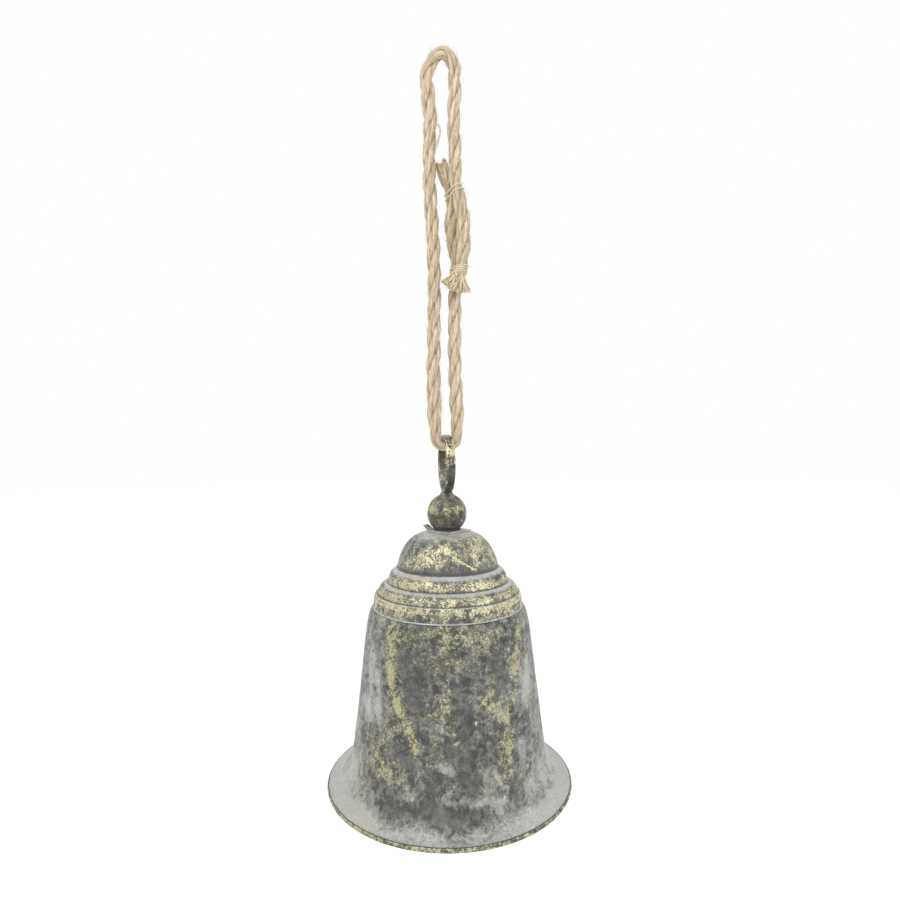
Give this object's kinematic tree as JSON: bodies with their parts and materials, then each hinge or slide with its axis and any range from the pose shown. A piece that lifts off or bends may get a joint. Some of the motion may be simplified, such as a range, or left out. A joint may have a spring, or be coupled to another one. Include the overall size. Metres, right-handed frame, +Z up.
{
  "type": "yard dinner bell",
  "caption": "Sheet-metal dinner bell with a domed, stepped crown and a flared, rolled rim, hung by its ring from a spliced jute rope loop, with a hinged iron clapper inside.",
  "frame": {"origin": "hanging point, on the underside of the rope loop's top bend", "axes": "+Z up along the bell's axis, +X to the right and +Y away from the side that shows the rope's splice"},
  "size_m": [0.2, 0.2, 0.6077],
  "materials": {
    "jute": "rough three-strand natural fibre",
    "twine": "fine natural twine",
    "aged_brass": "tarnished, rubbed brass with grey zinc haze",
    "zinc": "dull zinc-coated steel",
    "solder": "bright tin solder",
    "iron": "dark forged iron"
  },
  "bodies": {
    "rope": {"rope_loop": "jute", "upper_whipping": "twine", "lower_whipping": "twine", "upper_frayed_end": "jute", "lower_frayed_end": "jute"},
    "bell": {"hanging_ring": "aged_brass", "finial_ball": "aged_brass", "corner_washer": "zinc", "crown_shell": "aged_brass", "seam_solder": "solder", "body_shell": "aged_brass", "rim_wire": "iron", "eye_stud": "iron", "inner_washer": "zinc", "clamp_nut": "zinc"},
    "link": {"clapper_link": "iron"},
    "clapper": {"clapper_rod": "iron", "clapper_ball": "iron", "clapper_nut": "iron"}
  },
  "joints": [
    {"name": "bell_swing", "type": "hinge", "parent": "rope", "child": "bell", "pos_m": [0, 0, -0.3221], "axis": [0.9854, 0.1702, 0], "range_deg": [-50, 50]},
    {"name": "link_swing", "type": "hinge", "parent": "bell", "child": "link", "pos_m": [0, 0, -0.42467], "axis": [0, 1, 0], "range_deg": [-8, 8]},
    {"name": "clapper_swing", "type": "hinge", "parent": "link", "child": "clapper", "pos_m": [0, 0, -0.44737], "axis": [1, 0, 0], "range_deg": [-30, 30]}
  ]
}
